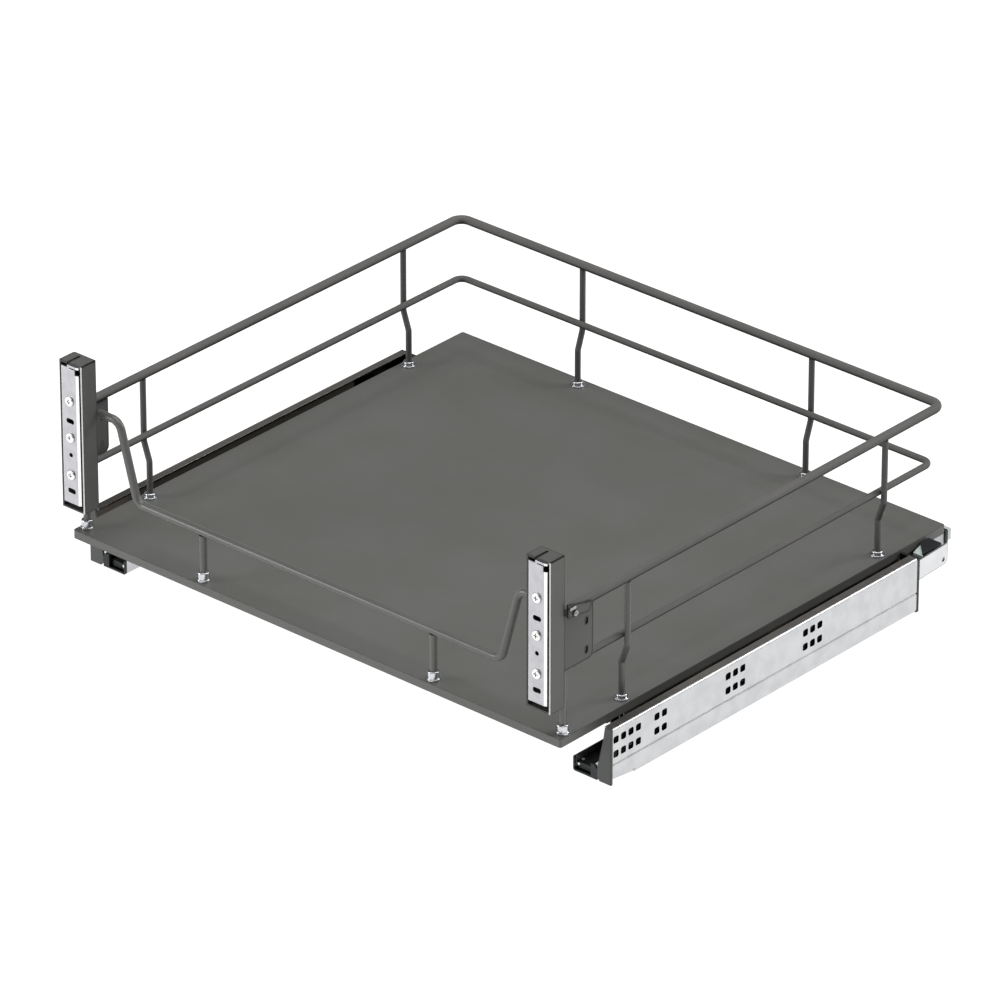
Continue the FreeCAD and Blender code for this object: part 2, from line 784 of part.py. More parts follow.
bolt = new_body("bolt_right")
grow(bolt, "YZ", "bracket_x", "bracket_sheet", rings=[("bolt_y", "bolt_height", "bolt_radius")])
bolt_turn = "bolt_head_width * end_round"
bolt_head = box_round("bolt_y", "bolt_height", "bolt_head_length", "bolt_head_width", bolt_turn)
grow(bolt, "YZ", "bracket_out", "bolt_head_height", [bolt_head])
nut = new_body("nut_right")
grow(nut, "YZ", "bracket_x", "bracket_sheet + nut_length + stud_end",
     rings=[("nut_y", "nut_height", "bolt_radius")])
flats = []
for i in range(6):
    angle = i * 60 + 30
    flats.append(("nut_y + nut_width * %.5f" % (math.cos(math.radians(angle)) / math.sqrt(3)),
                  "nut_height + nut_width * %.5f" % (math.sin(math.radians(angle)) / math.sqrt(3))))
grow(nut, "YZ", "bracket_out", "nut_length", [flats])
both(group("bracket_bolts_right", [bolt, nut]))

# cabinet profile: one bent sheet with a ball track, a web and a tall flange
profile = new_body("cabinet_profile_right")
section = [
    ("track_in - runner_sheet", "0 - track_top"),
    ("track_in - runner_sheet", "0 - runner_depth", "track_bend"),
    ("runner_reach", "0 - runner_depth", "foot_bend"),
    ("runner_reach", "0 - crease_height - crease_length"),
    ("runner_reach - crease_depth", "0 - crease_height - crease_edge"),
    ("runner_reach", "0 - crease_height"),
    ("runner_reach", "0 - flange_top", "lip_bend"),
    ("runner_reach - lip_width", "0 - flange_top"),
    ("runner_reach - lip_width", "0 - flange_top - runner_sheet"),
    ("flange_inner", "0 - flange_top - runner_sheet", "lip_bend - runner_sheet"),
    ("flange_inner", "0 - crease_height"),
    ("flange_inner - crease_depth", "0 - crease_height - crease_edge"),
    ("flange_inner", "0 - crease_height - crease_length"),
    ("flange_inner", "web_top", "foot_bend - runner_sheet"),
    ("rib_out", "web_top"),
    ("rib_out", "0 - track_top"),
    ("track_out", "0 - track_top"),
    ("track_out", "web_top"),
    ("track_in", "web_top", "track_inner_bend"),
    ("track_in", "0 - track_top"),
]
grow(profile, "XZ", "runner_front", "runner_rear - runner_front", [section])
cut_end = "runner_front + cut_length"
below = "0 - runner_depth - runner_sheet"
corner_cut = [
    ("runner_front - runner_sheet", below),
    ("runner_front - runner_sheet", "0 - cut_front_height"),
    ("runner_front", "0 - cut_front_height"),
    (cut_end, "0 - cut_rear_height"),
    (cut_end, "0 - notch_height"),
    (cut_end + " + notch_length", "0 - notch_height"),
    (cut_end + " + notch_length", below),
]
cut(profile, "YZ", "runner_reach", "runner_reach - rib_out - runner_sheet", [corner_cut])
clusters = (
    (4, "cluster_front"),
    (2, "cluster_second"),
    (3, "cluster_third"),
    (3, "cluster_third + cluster_pitch"),
)
for count, middle in clusters:
    first = "%s - hole_pitch * %s / 2" % (middle, count - 1)
    windows = [
        box_round(first, "0 - hole_row_top", "hole_size", "hole_size", "hole_corner"),
        box_round(first, "0 - hole_row_top - hole_row_pitch", "hole_size", "hole_size", "hole_corner"),
    ]
    pair = cut(profile, "YZ", "runner_reach", "runner_sheet", windows)
    repeat(profile, pair, "Y_Axis", "hole_pitch", count)
both(profile)

end_plate = new_body("front_end_plate_right")
end_plate_foot = "runner_reach - end_plate_foot_width"
outline = [
    ("runner_reach", "0 - end_plate_top"),
    ("runner_reach - end_plate_top_width", "0 - flange_top"),
    ("runner_reach - end_plate_shoulder_width", "0 - hole_row_top"),
    (end_plate_foot, "0 - end_plate_knee"),
    (end_plate_foot, "foot_bend - runner_depth"),
    (end_plate_foot + " + foot_bend", "0 - runner_depth"),
    ("runner_reach", "0 - runner_depth"),
]
grow(end_plate, "XZ", "runner_front - end_plate_thick", "end_plate_thick", [outline])
both(end_plate)

# a dark strip on the inner side of the flange, behind the upper row of screw holes
liner = new_body("flange_liner_right")
outline = rectangle("flange_inner - liner_sheet", "flange_inner", "0 - liner_foot", "0 - liner_top")
grow(liner, "XZ", "runner_front", "runner_rear - runner_front - liner_end", [outline])
both(liner)

# U-shaped cap over the front of the ball track
front_cap = new_body("front_cap_right")
outline = [
    ("track_in - runner_sheet", "0 - track_top"),
    ("track_in - runner_sheet", "0 - runner_depth", "track_bend"),
    (end_plate_foot, "0 - runner_depth"),
    (end_plate_foot, "0 - end_plate_knee"),
    (end_plate_foot + " - front_cap_round", "0 - track_top"),
    ("track_out", "0 - track_top"),
    ("track_out", "web_top"),
    ("track_in", "web_top"),
    ("track_in", "0 - track_top"),
]
grow(front_cap, "XZ", "runner_front - end_plate_thick", "end_plate_thick", [outline])
both(front_cap)

# rear end cap of each cabinet profile
cap = new_body("rear_end_cap_right")
outline = [
    ("track_in - runner_sheet", "0 - runner_depth"),
    ("runner_reach", "0 - runner_depth"),
    ("runner_reach", "0 - cap_top"),
    ("clear_x", "0 - cap_top"),
    ("clear_x", "0 - track_top"),
    ("track_in - runner_sheet", "0 - track_top"),
]
grow(cap, "XZ", "runner_rear", "cap_length", [outline])
both(cap)

# tail of the right-hand cabinet profile: sheet bracket, wedge and soft-close housing
tail = new_body("rear_bracket")
tail_outer = "runner_reach - tail_lean"
section = [
    ("runner_reach", "cap_rear"),
    (tail_outer, "tail_rear"),
    (tail_outer + " - runner_sheet", "tail_rear"),
    ("flange_inner", "cap_rear"),
]
grow(tail, "XY", "0 - tail_foot", "tail_foot - tail_top", [section])
corner = [
    ("tail_rear - tail_round", "0 - tail_foot - runner_sheet"),
    ("tail_rear - tail_round", "0 - tail_foot"),
    ("tail_rear", "tail_round - tail_foot"),
    ("tail_rear + runner_sheet", "tail_round - tail_foot"),
    ("tail_rear + runner_sheet", "0 - tail_foot - runner_sheet"),
]
cut(tail, "YZ", "runner_reach", "tail_lean + runner_sheet * 2", [corner])
dimple = [("tail_rear - dimple_inset", "0 - dimple_height", "dimple_radius")]
cut(tail, "YZ", "runner_reach", "tail_lean + dimple_depth", rings=dimple)
seat(tail)

wedge = new_body("rear_wedge")
outline = [
    ("runner_reach - wedge_corner", "wedge_front"),
    ("runner_reach - wedge_side", "wedge_front"),
    ("runner_reach - wedge_tip", "wedge_rear"),
]
grow(wedge, "XY", "0 - wedge_foot", "wedge_foot - wedge_top", [outline])
seat(wedge)

# the housing's front follows the long side of the wedge
housing = new_body("soft_close_housing")
housing_outer = "flange_inner - tail_lean - housing_gap"
outline = [
    ("clear_x", "wedge_front + (runner_reach - clear_x - wedge_side) * wedge_slope"),
    (housing_outer, "wedge_front + (runner_reach - wedge_side - (%s)) * wedge_slope" % housing_outer),
    (housing_outer, "housing_rear", "housing_round"),
    ("clear_x", "housing_rear", "housing_round"),
]
grow(housing, "XY", "0 - housing_foot", "housing_foot - housing_top", [outline])
seat(housing)

# drawer profile under the board, with the hook that stops it at the back
runner = new_body("drawer_profile_right")
section = [
    ("track_in - drawer_sheet", "0 - drawer_foot"),
    ("track_in", "0 - drawer_foot"),
    ("track_in", "drawer_roof", "drawer_bend - drawer_sheet"),
    ("track_out", "drawer_roof", "drawer_bend - drawer_sheet"),
    ("track_out", "0 - drawer_foot"),
    ("track_out + drawer_sheet", "0 - drawer_foot"),
    ("track_out + drawer_sheet", "0 - board_thick", "drawer_bend"),
    ("track_in - drawer_sheet", "0 - board_thick", "drawer_bend"),
]
grow(runner, "XZ", "drawer_front", "drawer_rear - drawer_front", [section])
both(runner)

hook = new_body("rear_hook_right")
outline = [
    ("hook_inner_x", "0 - hook_top", "buffer_inset"),
    ("hook_outer_x", "0 - hook_top", "buffer_inset"),
    ("hook_outer_x", "0 - hook_foot", "buffer_inset"),
    ("pass_x", "0 - hook_foot", "buffer_inset"),
    ("pass_x", "pass_z"),
    ("hook_inner_x", "pass_z", "buffer_inset"),
]
grow(hook, "XZ", "drawer_rear", "hook_length", [outline])
both(hook)
buffer = new_body("rear_buffer_right")
outline = [
    ("hook_inner_x + buffer_inset", "0 - hook_top - buffer_inset", "buffer_inset"),
    ("hook_outer_x - buffer_inset", "0 - hook_top - buffer_inset", "buffer_inset"),
    ("hook_outer_x - buffer_inset", "buffer_inset - hook_foot", "buffer_inset"),
    ("pass_x + buffer_inset", "buffer_inset - hook_foot", "buffer_inset"),
    ("pass_x + buffer_inset", "pass_z + buffer_inset"),
    ("hook_inner_x + buffer_inset", "pass_z + buffer_inset", "buffer_inset"),
]
grow(buffer, "XZ", "hook_rear", "buffer_length", [outline])
both(buffer)

# intermediate profile, a closed section, with a plastic nose in the track
middle = new_body("mid_profile_right")
outer = rectangle("track_x - mid_half", "track_x + mid_half", "mid_foot", "mid_top", "mid_bend")
inner = rectangle(
    "track_x - mid_half + mid_sheet",
    "track_x + mid_half - mid_sheet",
    "mid_foot + mid_sheet",
    "mid_top - mid_sheet",
    "mid_bend - mid_sheet",
)
grow(middle, "XZ", "mid_front", "mid_length", [outer, inner])
both(middle)

nose = new_body("mid_nose_right")
nose_half = "(track_width / 2 - nose_side_gap)"
nose_front = "mid_front - nose_length"
outline = rectangle("track_x - " + nose_half, "track_x + " + nose_half, nose_front, "mid_front")
outline[0] = ("track_x - " + nose_half, nose_front, "nose_round")
outline[1] = ("track_x + " + nose_half, nose_front, "nose_round")
grow(nose, "XY", "web_top + nose_foot_gap", "0 - nose_top - web_top - nose_foot_gap", [outline])
both(nose)
rivets = [
    rod("rivet_top", "track_x - rivet_inset", nose_front + " + rivet_step", "0 - nose_top", "Z",
        "rivet_radius", "rivet_height"),
    rod("rivet_front", "track_x - rivet_inset", nose_front + " - rivet_height", "0 - nose_top - rivet_drop",
        "Y", "rivet_radius", "rivet_height"),
]
both(group("nose_rivets_right", rivets))

# ball cages: thin channels with a ball in each hole
hole_radius = "ball_radius + ball_fit"
strip_out = "(row_offset + cage_sheet / 2)"
strip_in = "(row_offset - cage_sheet / 2)"


def cage(name, front, length, tips, base_out, base_in, row_height, bend):
    """A channel with its open side towards the tips, drilled for three rows of balls."""
    body = new_body(name)
    section = [
        ("track_x - " + strip_out, tips),
        ("track_x - " + strip_out, base_out, bend),
        ("track_x + " + strip_out, base_out, bend),
        ("track_x + " + strip_out, tips),
        ("track_x + " + strip_in, tips),
        ("track_x + " + strip_in, base_in, bend + " - cage_sheet"),
        ("track_x - " + strip_in, base_in, bend + " - cage_sheet"),
        ("track_x - " + strip_in, tips),
    ]
    grow(body, "XZ", front, length, [section])
    first = "%s + (%s - ball_pitch * %d) / 2" % (front, length, BALL_COUNT - 1)
    side_ring = (first, row_height, hole_radius)
    side_hole = cut(body, "YZ", "track_x + " + strip_out, strip_out + " * 2", rings=[side_ring])
    repeat(body, side_hole, "Y_Axis", "ball_pitch", BALL_COUNT)
    base_ring = ("track_x", first, hole_radius)
    base_hole = cut(body, "XY", "%s + cage_sheet * 2" % base_in, "cage_sheet * 5", rings=[base_ring])
    repeat(body, base_hole, "Y_Axis", "ball_pitch", BALL_COUNT)
    both(body)
    balls = []
    base_row = "(%s + %s) / 2" % (base_out, base_in)
    rows = (("track_x - row_offset", row_height), ("track_x + row_offset", row_height), ("track_x", base_row))
    for i in range(BALL_COUNT):
        for k, (x, z) in enumerate(rows):
            ball = doc.addObject("Part::Sphere", "%s_ball_%d_%d" % (name, i, k))
            bind(ball, "Radius", "ball_radius")
            bind(ball, "Placement.Base.x", x)
            bind(ball, "Placement.Base.y", "%s + ball_pitch * %d" % (first, i))
            bind(ball, "Placement.Base.z", z)
            balls.append(ball)
    both(group(name.replace("cage", "balls"), balls))


cage(
    "lower_cage_right",
    "lower_cage_front",
    "lower_cage_length",
    "0 - lower_cage_top",
    "web_top + (ball_gap - cage_sheet) / 2",
    "web_top + (ball_gap + cage_sheet) / 2",
    "0 - lower_row_height",
    "cage_bend",
)
cage(
    "upper_cage_right",
    "upper_cage_front",
    "upper_cage_length",
    "0 - upper_cage_foot",
    "drawer_roof - (ball_gap - cage_sheet) / 2",
    "drawer_roof - (ball_gap + cage_sheet) / 2",
    "0 - upper_row_height",
    "cage_bend",
)

doc.recompute()
for thing in doc.Objects:
    if "Invalid" in thing.State or "Error" in thing.State:
        raise ValueError("%s is not valid" % thing.Name)
os.makedirs("parts", exist_ok=True)
for thing in parts:
    if thing.Shape.isNull() or not thing.Shape.isValid():
        raise ValueError("%s has no sound shape" % thing.Name)
    thing.Label = thing.Name
    thing.Shape.exportStep("parts/%s.step" % thing.Name)
print("%d pieces" % len(parts))
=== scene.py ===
import math

import bpy
from mathutils import Matrix, Vector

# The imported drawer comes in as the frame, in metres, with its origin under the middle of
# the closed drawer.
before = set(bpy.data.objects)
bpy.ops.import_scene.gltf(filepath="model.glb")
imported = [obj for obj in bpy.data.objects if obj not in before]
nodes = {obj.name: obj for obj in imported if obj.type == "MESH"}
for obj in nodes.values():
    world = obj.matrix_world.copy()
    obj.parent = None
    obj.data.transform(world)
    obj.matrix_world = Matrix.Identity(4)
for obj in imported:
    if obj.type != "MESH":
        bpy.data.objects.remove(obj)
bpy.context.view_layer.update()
scene = bpy.context.scene
scene.view_settings.view_transform = "Standard"

# Camera: the photograph was taken from the right front with a long lens, a little under
# 28 degrees above the horizon and without roll. The place was fitted to the corners of
# the board, rails and posts, in the board's own frame, which sits a little off this one.
picture_px = 1000
focal_px = 8829
sensor_mm = 36.0
far_limit = 60.0
azimuth = math.radians(41.464)
elevation = math.radians(27.892)
fitted_spot = Vector((4.2235, -4.5515, 3.4058))
board_frame = Vector((0.0, -0.23715, 0.051))
camera_data = bpy.data.cameras.new("camera")
camera_data.sensor_width = sensor_mm
camera_data.lens = focal_px / picture_px * sensor_mm
camera_data.clip_end = far_limit
camera = bpy.data.objects.new("camera", camera_data)
scene.collection.objects.link(camera)
tilt = Matrix.Rotation(math.pi / 2 - elevation, 4, "X")
camera.matrix_world = Matrix.Translation(fitted_spot + board_frame) @ Matrix.Rotation(azimuth, 4, "Z") @ tilt
scene.camera = camera


# Floor: a wide flat sheet of pale matt paper just under the drawer. It glows by itself,
# so it comes out as even and white as the ground in the photograph.
def add_node(tree, kind, settings=None, inputs=None, links=None):
    """Adds one shader node; settings are its properties, inputs its socket values, links its sources."""
    node = tree.nodes.new("ShaderNode" + kind)
    for name, value in (settings or {}).items():
        setattr(node, name, value)
    for name, value in (inputs or {}).items():
        node.inputs[name].default_value = value
    for name, source in (links or {}).items():
        tree.links.new(source, node.inputs[name])
    return node


def linear(code):
    """A colour written as sRGB hex digits, in the linear values that shaders take."""
    channels = [int(code[i : i + 2], 16) / 255 for i in (0, 2, 4)]
    return tuple(c / 12.92 if c <= 0.04045 else ((c + 0.055) / 1.055) ** 2.4 for c in channels) + (1.0,)


floor_reach = 9.0
floor_level = -0.0006
paper_cloud = 6.0
paper_glow = 6.1
floor_mesh = bpy.data.meshes.new("floor")
corners = [(x * floor_reach, y * floor_reach, floor_level) for x, y in ((-1, -1), (1, -1), (1, 1), (-1, 1))]
floor_mesh.from_pydata(corners, [], [(0, 1, 2, 3)])
floor = bpy.data.objects.new("floor", floor_mesh)
scene.collection.objects.link(floor)
# Matt paper, rolled: a dull face, and two greys so close that no pattern shows.
paper = bpy.data.materials.new("matt_paper_rolled")
paper.use_nodes = True
tree = paper.node_tree
shader = tree.nodes["Principled BSDF"]
mottle = add_node(tree, "TexNoise", inputs={"Scale": 2 * floor_reach / paper_cloud})
tone = add_node(tree, "ValToRGB", links={"Fac": mottle.outputs["Fac"]})
tone.color_ramp.elements[0].color = linear("707070")
tone.color_ramp.elements[1].color = linear("737373")
tree.links.new(tone.outputs["Color"], shader.inputs["Base Color"])
tree.links.new(tone.outputs["Color"], shader.inputs["Emission Color"])
shader.inputs["Emission Strength"].default_value = paper_glow
shader.inputs["Roughness"].default_value = 0.8
floor_mesh.materials.append(paper)

# Studio: a dim grey room and three square soft boxes. The large one hangs overhead, one
# stands low at the left front, and one behind at the right, for the runner's long side.
room = bpy.data.worlds.new("room")
scene.world = room
room.use_nodes = True
walls = room.node_tree.nodes["Background"]
walls.inputs["Color"].default_value = linear("8b8b89")
walls.inputs["Strength"].default_value = 0.55


def soft_box(name, spot, target, width, watts):
    """A square soft box that stands at a spot and is turned to a target."""
    data = bpy.data.lights.new(name, "AREA")
    data.shape = "SQUARE"
    data.size = width
    data.energy = watts
    lamp = bpy.data.objects.new(name, data)
    scene.collection.objects.link(lamp)
    turn = (Vector(spot) - Vector(target)).to_track_quat("Z", "Y").to_matrix().to_4x4()
    lamp.matrix_world = Matrix.Translation(spot) @ turn


drawer_middle = (0.0, 0.0, 0.1)
runner_foot = (0.25, 0.0, 0.0)
soft_box("top_light", (0.0, 0.1, 2.6), drawer_middle, 2.4, 60.0)
soft_box("left_light", (-2.0, -2.3, 0.9), drawer_middle, 1.2, 40.0)
soft_box("back_light", (1.5, 1.8, 1.5), runner_foot, 1.3, 34.0)


# Shelf board: a thin wood-based panel, faced and edged with grey laminate and drilled for
# the feet of the wire work. It rests on the two inner runner members.
smooth = {"interpolation_type": "SMOOTHSTEP"}
skin_cloud_mm = 60.0


def textured_skin(name, light_tone, dark_tone, roughness, grain_mm, relief_mm, edge_mm, shine=0.5):
    """Laminate, paint or moulded plastic: soft clouds of two close tones, fine grain, edges a little round."""
    skin = bpy.data.materials.new(name)
    skin.use_nodes = True
    tree = skin.node_tree
    shader = tree.nodes["Principled BSDF"]
    spot = add_node(tree, "TexCoord").outputs["Object"]
    cloud = add_node(tree, "TexNoise", None, {"Scale": 1000 / skin_cloud_mm, "Detail": 3.0}, {"Vector": spot})
    tone = add_node(tree, "ValToRGB", links={"Fac": cloud.outputs["Fac"]})
    for stop, position, code in zip(tone.color_ramp.elements, (0.35, 0.65), (dark_tone, light_tone)):
        stop.position = position
        stop.color = linear(code)
    tree.links.new(tone.outputs["Color"], shader.inputs["Base Color"])
    grain = add_node(tree, "TexNoise", None, {"Scale": 1000 / grain_mm, "Detail": 2.0}, {"Vector": spot})
    spread = {"To Min": roughness - 0.05, "To Max": roughness + 0.05}
    gloss = add_node(tree, "MapRange", None, spread, {"Value": grain.outputs["Fac"]})
    tree.links.new(gloss.outputs["Result"], shader.inputs["Roughness"])
    rounded = add_node(tree, "Bevel", {"samples": 4}, {"Radius": edge_mm / 1000})
    relief = add_node(
        tree,
        "Bump",
        inputs={"Strength": 0.4, "Distance": relief_mm / 1000},
        links={"Height": grain.outputs["Fac"], "Normal": rounded.outputs["Normal"]},
    )
    tree.links.new(relief.outputs["Normal"], shader.inputs["Normal"])
    shader.inputs["Specular IOR Level"].default_value = shine
    return skin


def lay_over(finish, code, *shares):
    """Lays another colour over a finish where all the shares are 1."""
    tree = finish.node_tree
    amount = shares[0]
    for share in shares[1:]:
        amount = add_node(tree, "Math", {"operation": "MULTIPLY"}, links={0: amount, 1: share}).outputs["Value"]
    colour = tree.nodes["Principled BSDF"].inputs["Base Color"]
    under = colour.links[0].from_socket
    layer = add_node(tree, "Mix", {"data_type": "RGBA"}, {7: linear(code)}, {0: amount, 6: under})
    tree.links.new(layer.outputs[2], colour)


def line_edges(finish, code, width_mm):
    """Draws a strip beside each sharp edge in another colour."""
    tree = finish.node_tree
    rounded = add_node(tree, "Bevel", {"samples": 4}, {"Radius": width_mm / 1000}).outputs["Normal"]
    flat = add_node(tree, "NewGeometry").outputs["Normal"]
    match = add_node(tree, "VectorMath", {"operation": "DOT_PRODUCT"}, links={0: rounded, 1: flat})
    limits = {"From Min": 0.999, "From Max": 0.97}
    strip = add_node(tree, "MapRange", smooth, limits, {"Value": match.outputs["Value"]})
    lay_over(finish, code, strip.outputs["Result"])


def dress(finish, *starts):
    """Puts a finish on every CAD node whose name starts with one of the words."""
    for name, thing in nodes.items():
        if name.startswith(starts):
            thing.data.materials.clear()
            thing.data.materials.append(finish)


# Melamine laminate, pressed: an even, warm mid-grey with hardly any gleam, and a darker
# line where the facing meets the edge strip. Its grain is finer than a picture point, so
# it is drawn 0.9 mm wide, here and on the paints below about as wide.
board_laminate = textured_skin("melamine_laminate_pressed", "5f5f5d", "5b5b58", 0.5, 0.9, 0.04, 0.6)
line_edges(board_laminate, "3a3a3b", 1.0)
dress(board_laminate, "shelf_board")


# Wire work: two rails bent to a U round the sides and back, a front rail with a lowered
# middle, and their uprights and pins. All are drawn steel rod, bent, welded and sprayed.
def turned_to(finish, direction, start, full):
    """Share that rises as the surface turns to a direction; start and full are cosines."""
    tree = finish.node_tree
    flat = add_node(tree, "NewGeometry").outputs["Normal"]
    match = add_node(tree, "VectorMath", {"operation": "DOT_PRODUCT"}, {1: direction}, {0: flat})
    limits = {"From Min": start, "From Max": full}
    return add_node(tree, "MapRange", smooth, limits, {"Value": match.outputs["Value"]}).outputs["Result"]


upwards = (0.0, 0.0, 1.0)
coat_grain_mm = 0.7
coat_relief_mm = 0.03
rod_edge_mm = 0.3
# Powder coat, sprayed and baked: satin grey with a fine peel. The long rails look dullest
# and the short rods have more gleam. Rails and uprights are painted darker underneath, as painted shade.
rod_coats = {}
for kind, light_tone, dark_tone, roughness, shine in (
    ("rails", "605f5e", "5a5a59", 0.6, 0.2),
    ("front_rail", "5c5c5a", "575756", 0.34, 0.5),
    ("uprights", "5e5e5d", "585857", 0.28, 0.5),
    ("pins", "626260", "5c5c5b", 0.24, 0.5),
):
    look = (light_tone, dark_tone, roughness, coat_grain_mm, coat_relief_mm, rod_edge_mm, shine)
    rod_coats[kind] = textured_skin("powder_coat_sprayed_" + kind, *look)
# Painted shade: faces that turn downwards are drawn near black.
for kind in ("rails", "uprights"):
    lay_over(rod_coats[kind], "242324", turned_to(rod_coats[kind], upwards, 0.1, -0.4))
dress(rod_coats["rails"], "top_rail", "mid_rail", "upright_left", "upright_back", "upright_right_rear")
dress(rod_coats["front_rail"], "front_rail")
dress(rod_coats["uprights"], "upright_right_front")
dress(rod_coats["pins"], "front_pins", "post_pin")


# Posts: two channels of folded steel sheet, open to the front, with a slit cover on top.
# They stand on the board's front corners and take the fixing plates of the drawer front.
def lies_at(finish, axis, start, full):
    """Share that rises from one place along an axis to another, in metres from the origin."""
    tree = finish.node_tree
    spot = add_node(tree, "TexCoord").outputs["Object"]
    place = add_node(tree, "SeparateXYZ", links={"Vector": spot}).outputs[axis]
    return add_node(tree, "MapRange", smooth, {"From Min": start, "From Max": full}, {"Value": place}).outputs["Result"]


forwards = (0.0, -1.0, 0.0)
right_back = (math.sqrt(0.5), math.sqrt(0.5), 0.0)
left_front = (-math.sqrt(0.5), -math.sqrt(0.5), 0.0)
post_spacing = 0.504
wall_inside = (0.2628, 0.2634)
wall_outside = (0.2657, 0.2655)
cover_height = (0.17, 0.18)
sheet_grain_mm = 0.8
sheet_edge_mm = 0.2
# Powder coat, sprayed and baked, on sheet: satin grey, with painted shade as dark lines along the folds
# and a black seam beside the cover. The right wall's front edge is drawn pale, as a painted highlight.
for post, shift in (("post_right", 0.0), ("post_left", -post_spacing)):
    look = ("5a5a59", "545453", 0.36, sheet_grain_mm, coat_relief_mm, sheet_edge_mm, 0.25)
    post_coat = textured_skin("powder_coat_sprayed_" + post, *look)
    # Painted shade: near black strips along the sharp edges.
    line_edges(post_coat, "101010", 1.6)
    # Painted shade: the faces of the folds are drawn near black.
    for fold in (right_back, left_front):
        lay_over(post_coat, "141414", turned_to(post_coat, fold, 0.775, 0.866))
    wall = [lies_at(post_coat, "X", *(place + shift for place in face)) for face in (wall_inside, wall_outside)]
    cover = (lies_at(post_coat, "Z", *cover_height), turned_to(post_coat, upwards, 0.5, 0.9))
    # Painted shade: the right wall's top beside the cover is drawn black.
    lay_over(post_coat, "0c0c0c", *wall, *cover)
    # Painted highlight: the right wall's front edge is drawn pale.
    lay_over(post_coat, "d0cfcc", *wall, turned_to(post_coat, forwards, 0.9, 0.99))
    dress(post_coat, post)

# Side plates and rail brackets: flat pieces cut from steel sheet. The plates are welded
# behind the posts, and the brackets to the rails' ends, which are bolted to the plates.
# Powder coat, sprayed and baked, on sheet: as on the posts, with a near black outline drawn along the edges as painted
# shade.
look = ("5a5a59", "545453", 0.36, sheet_grain_mm, coat_relief_mm, sheet_edge_mm, 0.15)
plate_coat = textured_skin("powder_coat_sprayed_plates", *look)
line_edges(plate_coat, "040404", 2.8)
dress(plate_coat, "side_plate", "rail_bracket")


# Fixing plates and their screws: a steel plate with bevelled sides sits in each post and
# is held by three cross-head screws. Its slots take the screws of the drawer front.
def plated_metal(name, light_tone, dark_tone, roughness, cloud_mm, edge_mm, relief_mm=0.02, hollow_shade_mm=1.2):
    """Plated metal: faint clouds in tone and gloss, edges a little round, painted shade in narrow hollows."""
    metal = bpy.data.materials.new(name)
    metal.use_nodes = True
    tree = metal.node_tree
    shader = tree.nodes["Principled BSDF"]
    spot = add_node(tree, "TexCoord").outputs["Object"]
    cloud = add_node(tree, "TexNoise", None, {"Scale": 1000 / cloud_mm, "Detail": 4.0}, {"Vector": spot}).outputs["Fac"]
    patch = add_node(tree, "MapRange", smooth, {"From Min": 0.3, "From Max": 0.7}, {"Value": cloud})
    tones = {6: linear(dark_tone), 7: linear(light_tone)}
    tone = add_node(tree, "Mix", {"data_type": "RGBA"}, tones, {0: patch.outputs["Result"]})
    # Painted shade: the colour goes near black in narrow hollows, where little light reaches.
    hollow = add_node(tree, "AmbientOcclusion", {"samples": 4}, {"Distance": hollow_shade_mm / 1000})
    unshaded = add_node(tree, "MapRange", smooth, {"From Min": 0.35, "From Max": 0.8}, {"Value": hollow.outputs["AO"]})
    hollow_shade = {6: linear("20201f")}
    sources = {0: unshaded.outputs["Result"], 7: tone.outputs[2]}
    shaded_tone = add_node(tree, "Mix", {"data_type": "RGBA"}, hollow_shade, sources)
    tree.links.new(shaded_tone.outputs[2], shader.inputs["Base Color"])
    spread = {"To Min": roughness - 0.06, "To Max": roughness + 0.06}
    gloss = add_node(tree, "MapRange", None, spread, {"Value": cloud})
    tree.links.new(gloss.outputs["Result"], shader.inputs["Roughness"])
    rounded = add_node(tree, "Bevel", {"samples": 4}, {"Radius": edge_mm / 1000})
    relief = add_node(
        tree,
        "Bump",
        inputs={"Strength": 0.3, "Distance": relief_mm / 1000},
        links={"Height": cloud, "Normal": rounded.outputs["Normal"]},
    )
    tree.links.new(relief.outputs["Normal"], shader.inputs["Normal"])
    shader.inputs["Metallic"].default_value = 1.0
    return metal


right_front = (math.sqrt(0.5), -math.sqrt(0.5), 0.0)
small_edge_mm = 0.4
# Zinc plated steel, rolled: a satin silver grey in clouds of 6 mm. Its bevels are
# drawn nearly white, as a painted highlight.
plate_zinc = plated_metal("zinc_plated_steel_rolled", "c0c0c4", "b6b6ba", 0.42, 6.0, small_edge_mm)
# Painted highlight: faces turned to the right front and left front are drawn nearly white.
for bevel in (right_front, left_front):
    lay_over(plate_zinc, "fbfbfa", turned_to(plate_zinc, bevel, 0.837, 0.922))
dress(plate_zinc, "fixing_plate")
# Zinc plated steel, cold headed: bright, pale heads with painted shade in the cross.
screw_zinc = plated_metal("zinc_plated_steel_headed", "f6f6f4", "ecedeb", 0.34, 2.0, small_edge_mm)
dress(screw_zinc, "plate_screws")

# Bracket bolts: one bolt and nut hold each rail bracket to its side plate.
# Zinc plated steel, rolled thread: duller and darker than the screws.
bolt_zinc = plated_metal("zinc_plated_steel_bolts", "a2a3a2", "929392", 0.3, 2.0, small_edge_mm)
dress(bolt_zinc, "bracket_bolts")

# Ferrules and balls: turned collars grip the feet of uprights, pins and posts where they
# enter the board, and hardened steel balls run between the runner members.
# Chrome, polished: clear bright glints beside dark ones, and no painted shade in hollows.
chrome = plated_metal("chrome_polished", "d0d2d5", "c2c4c8", 0.24, 6.0, 0.2, relief_mm=0.002, hollow_shade_mm=0.01)
dress(chrome, "upright_ferrules", "front_ferrules", "lower_balls", "upper_balls")

